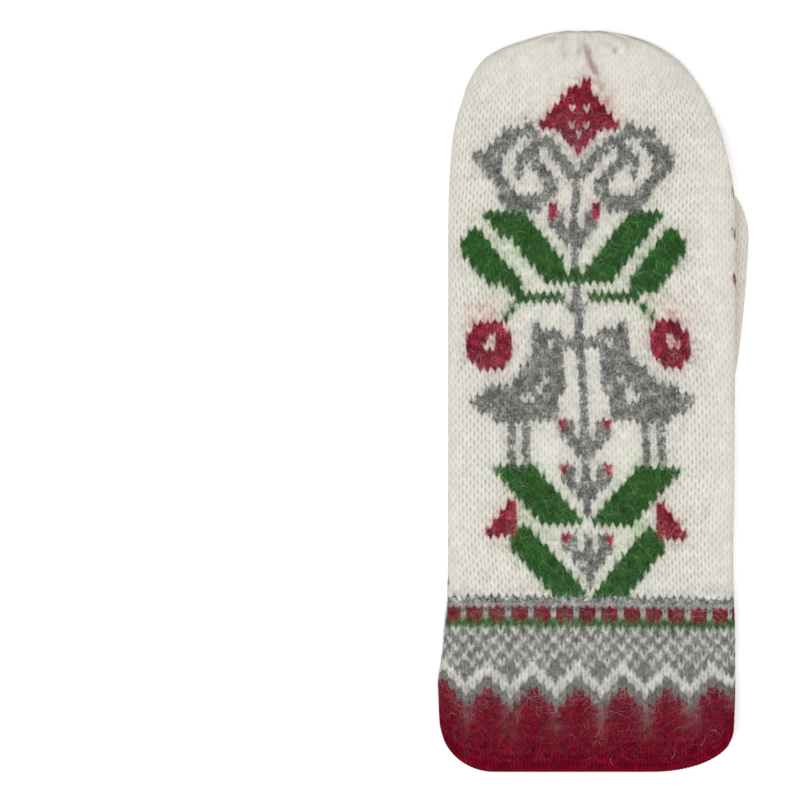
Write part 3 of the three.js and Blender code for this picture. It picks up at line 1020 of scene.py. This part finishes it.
def thumb_detail(column, row):
    """The painted shade in the hollows is faint, for the thumb is felted, and nothing dyed is near."""
    return 0.6 + 0 * column, np.zeros(3), 1 + 0 * row


thumb_knit = knitted(
    thumb_cloth(per_stitch=6),
    first=0,
    last=32,
    lines=5,
    depth=0.2,
    chart=all_cream,
    vee=thumb_vee,
    folds=unfolded,
    detail=thumb_detail,
    seed=13,
)
thumb = wool_mesh("thumb_knit", [thumb_knit], joined=False)
thumb_finish = wool_finish(
    "plain cream wool",
    cream=(0.75, 0.70, 0.605, 1),
    crimson=HAND_CRIMSON,
    blush=HAND_BLUSH,
    rough=1.0,
)
thumb.data.materials.append(thumb_finish)
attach(thumb, "root")
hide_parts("thumb")

# Loose hairs stand out of the wool and lie over it, most of all where it is dyed. Each is
# one fine hair of the yarn's own colour, a little lighter where it catches the light.
HAIRS = (
    {"name": "cream_hairs", "share": 0.05, "colour": (0.66, 0.62, 0.56), "slot": "cream_wool"},
    {"name": "grey_hairs", "share": 0.5, "colour": (0.36, 0.37, 0.35), "slot": "cream_wool"},
    {"name": "green_hairs", "share": 0.6, "colour": (0.065, 0.17, 0.05), "slot": "cream_wool"},
    {"name": "crimson_hairs", "share": 0.55, "colour": (0.24, 0.022, 0.045), "slot": "crimson_wool"},
)

# Hairs start at so many places. Of those on a wool, its share above is kept, and a few cream
# ones lie over dyed wool too.
HAND_HAIRS = 30000
CUFF_HAIRS = 9000
CREAM_OVER_HAND = 0.03
CREAM_OVER_CUFF = 0.006
HAIR_STEPS = 6
HAIR_RADIUS = 0.028
ROWS_A_COLUMN = 0.88


def hairs_on(cloth, column, row, rng):
    """Fine three-sided tubes that follow the cloth, 0.8 to 2.4 columns long. A hair starts at
    a stitch in any direction and turns steadily, its lift is half a sine, and it tapers to
    both ends."""
    count = len(column)
    steps = np.linspace(0, 1, HAIR_STEPS + 1)
    heading = rng.uniform(0, 2 * np.pi, (count, 1))
    turn = rng.normal(0, 1.8, (count, 1))
    length = rng.uniform(0.8, 2.4, (count, 1))
    angle = heading + turn * steps
    stride = length / HAIR_STEPS
    path_column = column[:, None] + np.cumsum(np.cos(angle) * stride, axis=1)
    path_row = row[:, None] + np.cumsum(np.sin(angle) * stride, axis=1) * ROWS_A_COLUMN
    lift = 0.05 + rng.uniform(0.1, 0.4, (count, 1)) * np.sin(np.pi * steps)
    line = (path_column + cloth.stitches / 2) * cloth.per_stitch
    middle = cloth.at(path_row, line, lift)
    above = cloth.at(path_row, line, lift + 1) - middle
    ahead = np.gradient(middle, axis=1)
    ahead /= np.maximum(np.linalg.norm(ahead, axis=2, keepdims=True), 1e-9)
    beside = np.cross(ahead, above)
    beside /= np.maximum(np.linalg.norm(beside, axis=2, keepdims=True), 1e-9)
    above = np.cross(beside, ahead)
    radius = HAIR_RADIUS * (0.25 + 0.75 * np.sin(np.pi * (0.1 + 0.8 * steps)))[None, :, None]
    corner = np.arange(3) * 2 * np.pi / 3
    ring = beside[:, :, None] * np.cos(corner)[:, None] + above[:, :, None] * np.sin(corner)[:, None]
    return middle[:, :, None] + ring * radius[..., None]


def hair_piece(name, tubes, colour):
    """One mesh of many hairs, each closed at both ends, in a soft finish of one colour."""
    each = np.arange(3 * HAIR_STEPS + 3).reshape(-1, 3)
    turned = np.roll(each, -1, axis=1)
    sides = np.stack([each[:-1], turned[:-1], turned[1:], each[1:]], axis=2).reshape(-1, 4)
    shift = (np.arange(len(tubes)) * each.size)[:, None, None]
    quads = (sides[None] + shift).reshape(-1, 4)
    ends = (np.stack([each[0, ::-1], each[-1]])[None] + shift).reshape(-1, 3)
    mesh = bpy.data.meshes.new(name)
    coordinates = tubes.reshape(-1, 3) * MILLIMETRE
    mesh.from_pydata(coordinates.tolist(), [], quads.tolist() + ends.tolist())
    mesh.polygons.foreach_set("use_smooth", np.ones(len(mesh.polygons), bool))
    material = bpy.data.materials.new(name.replace("_", " "))
    material.use_nodes = True
    shader = material.node_tree.nodes["Principled BSDF"]
    shader.inputs["Base Color"].default_value = (*colour, 1.0)
    shader.inputs["Roughness"].default_value = 0.9
    shader.inputs["Specular IOR Level"].default_value = 0.2
    shader.inputs["Sheen Weight"].default_value = 0.3
    mesh.materials.append(material)
    piece = add_object(name, mesh)
    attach(piece, "root")


rng = np.random.default_rng(21)
hand_column = rng.uniform(-18.5, 18.5, HAND_HAIRS)
hand_row = rng.uniform(1, 62, HAND_HAIRS)
cuff_column = rng.uniform(-19, 19, CUFF_HAIRS)
cuff_row = rng.uniform(1, 19.5, CUFF_HAIRS)
hand_wool = hand_chart(np.round(hand_column).astype(int), np.floor(hand_row).astype(int))
cuff_wool = cuff_chart(np.round(cuff_column).astype(int), np.floor(cuff_row).astype(int))
for wool, kind in enumerate(HAIRS):
    on_hand = (hand_wool == wool) & (rng.random(HAND_HAIRS) < kind["share"])
    on_cuff = (cuff_wool == wool) & (rng.random(CUFF_HAIRS) < kind["share"])
    if wool == CREAM:
        on_hand |= (hand_wool != CREAM) & (rng.random(HAND_HAIRS) < CREAM_OVER_HAND)
        on_cuff |= (cuff_wool != CREAM) & (rng.random(CUFF_HAIRS) < CREAM_OVER_CUFF)
    tubes = np.concatenate(
        [
            hairs_on(hand_outside, hand_column[on_hand], hand_row[on_hand], rng),
            hairs_on(cuff_wall, cuff_column[on_cuff], cuff_row[on_cuff], rng),
        ]
    )
    hair_piece(kind["name"], tubes, kind["colour"])

# A white floor, a wide soft light above and an even white surround, as on a studio table.
# The camera looks straight down from two metres through a long lens.
bpy.ops.mesh.primitive_plane_add(size=6, location=(0, 0, -0.0004))
floor = bpy.context.object
floor.name = "floor"
paper = bpy.data.materials.new("white paper")
paper.use_nodes = True
paper_look = paper.node_tree.nodes["Principled BSDF"].inputs
paper_look["Base Color"].default_value = (0.98, 0.98, 0.98, 1)
paper_look["Roughness"].default_value = 0.9
paper_look["Emission Color"].default_value = (1.0, 1.0, 1.0, 1)
paper_look["Emission Strength"].default_value = 0.22
floor.data.materials.append(paper)

world = bpy.data.worlds.new("surround")
bpy.context.scene.world = world
world.use_nodes = True
world_look = world.node_tree.nodes["Background"].inputs
world_look["Color"].default_value = (1.0, 1.0, 1.0, 1)
world_look["Strength"].default_value = 0.58

softbox = bpy.data.lights.new("softbox", "AREA")
softbox.shape = "RECTANGLE"
softbox.size = 1.2
softbox.size_y = 1.2
softbox.energy = 27
softbox_stand = add_object("softbox", softbox)
softbox_stand.location = (-0.25, -0.25, 2.1)
softbox_stand.rotation_euler = (0.12, -0.12, 0)

lens = bpy.data.cameras.new("camera")
lens.lens = 245.5
lens.sensor_width = 36
lens.clip_end = 20
camera = add_object("camera", lens)
camera.location = (-0.0706, 0.0004, 2.0)
bpy.context.scene.camera = camera
bpy.context.scene.view_settings.view_transform = "Standard"
